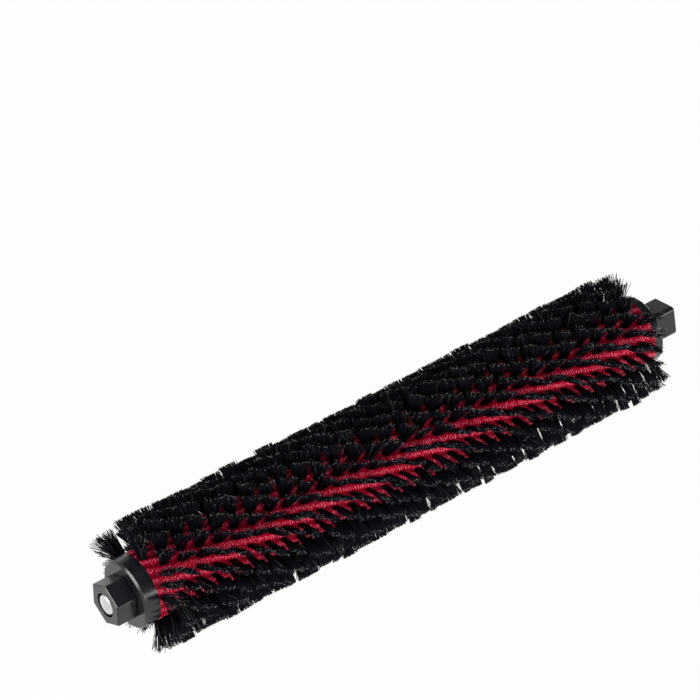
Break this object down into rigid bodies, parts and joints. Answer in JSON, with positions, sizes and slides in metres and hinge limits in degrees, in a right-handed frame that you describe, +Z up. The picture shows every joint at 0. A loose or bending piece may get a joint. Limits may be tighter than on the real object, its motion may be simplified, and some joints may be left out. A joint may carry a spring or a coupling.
{
  "type": "robot vacuum roller brush",
  "caption": "Roller brush with black bristle tufts in helical rows on a red core, a hex bearing block at one end and a square drive at the other.",
  "frame": {"origin": "on the brush's axis, half-way between the hex end face and the square end face", "axes": "+X along the brush from the hex end to the square end, +Z up as the brush lies in the cleaning head"},
  "size_m": [0.1688, 0.0326, 0.0326],
  "materials": {
    "red_plastic": "glossy moulded plastic",
    "black_plastic": "glossy moulded plastic",
    "steel": "turned end face",
    "black_bristle": "cut nylon filaments"
  },
  "bodies": {
    "bearing": {"hex_bearing": "black_plastic"},
    "roller": {"red_core": "red_plastic", "idle_end_cap": "black_plastic", "drive_end_cap": "black_plastic", "stub_axle": "steel", "tuft_row_01": "black_bristle", "tuft_row_02": "black_bristle", "tuft_row_03": "black_bristle", "tuft_row_04": "black_bristle", "tuft_row_05": "black_bristle", "tuft_row_06": "black_bristle", "tuft_row_07": "black_bristle", "tuft_row_08": "black_bristle", "tuft_row_09": "black_bristle", "tuft_row_10": "black_bristle", "tuft_row_11": "black_bristle", "tuft_row_12": "black_bristle", "tuft_row_13": "black_bristle", "tuft_row_14": "black_bristle", "tuft_row_15": "black_bristle", "tuft_row_16": "black_bristle", "tuft_row_17": "black_bristle", "tuft_row_18": "black_bristle", "tuft_row_19": "black_bristle", "tuft_row_20": "black_bristle"}
  },
  "joints": [
    {"name": "roller_spin", "type": "hinge", "parent": "bearing", "child": "roller", "pos_m": [-0.0818, 0, 0], "axis": [1, 0, 0], "continuous": true}
  ]
}
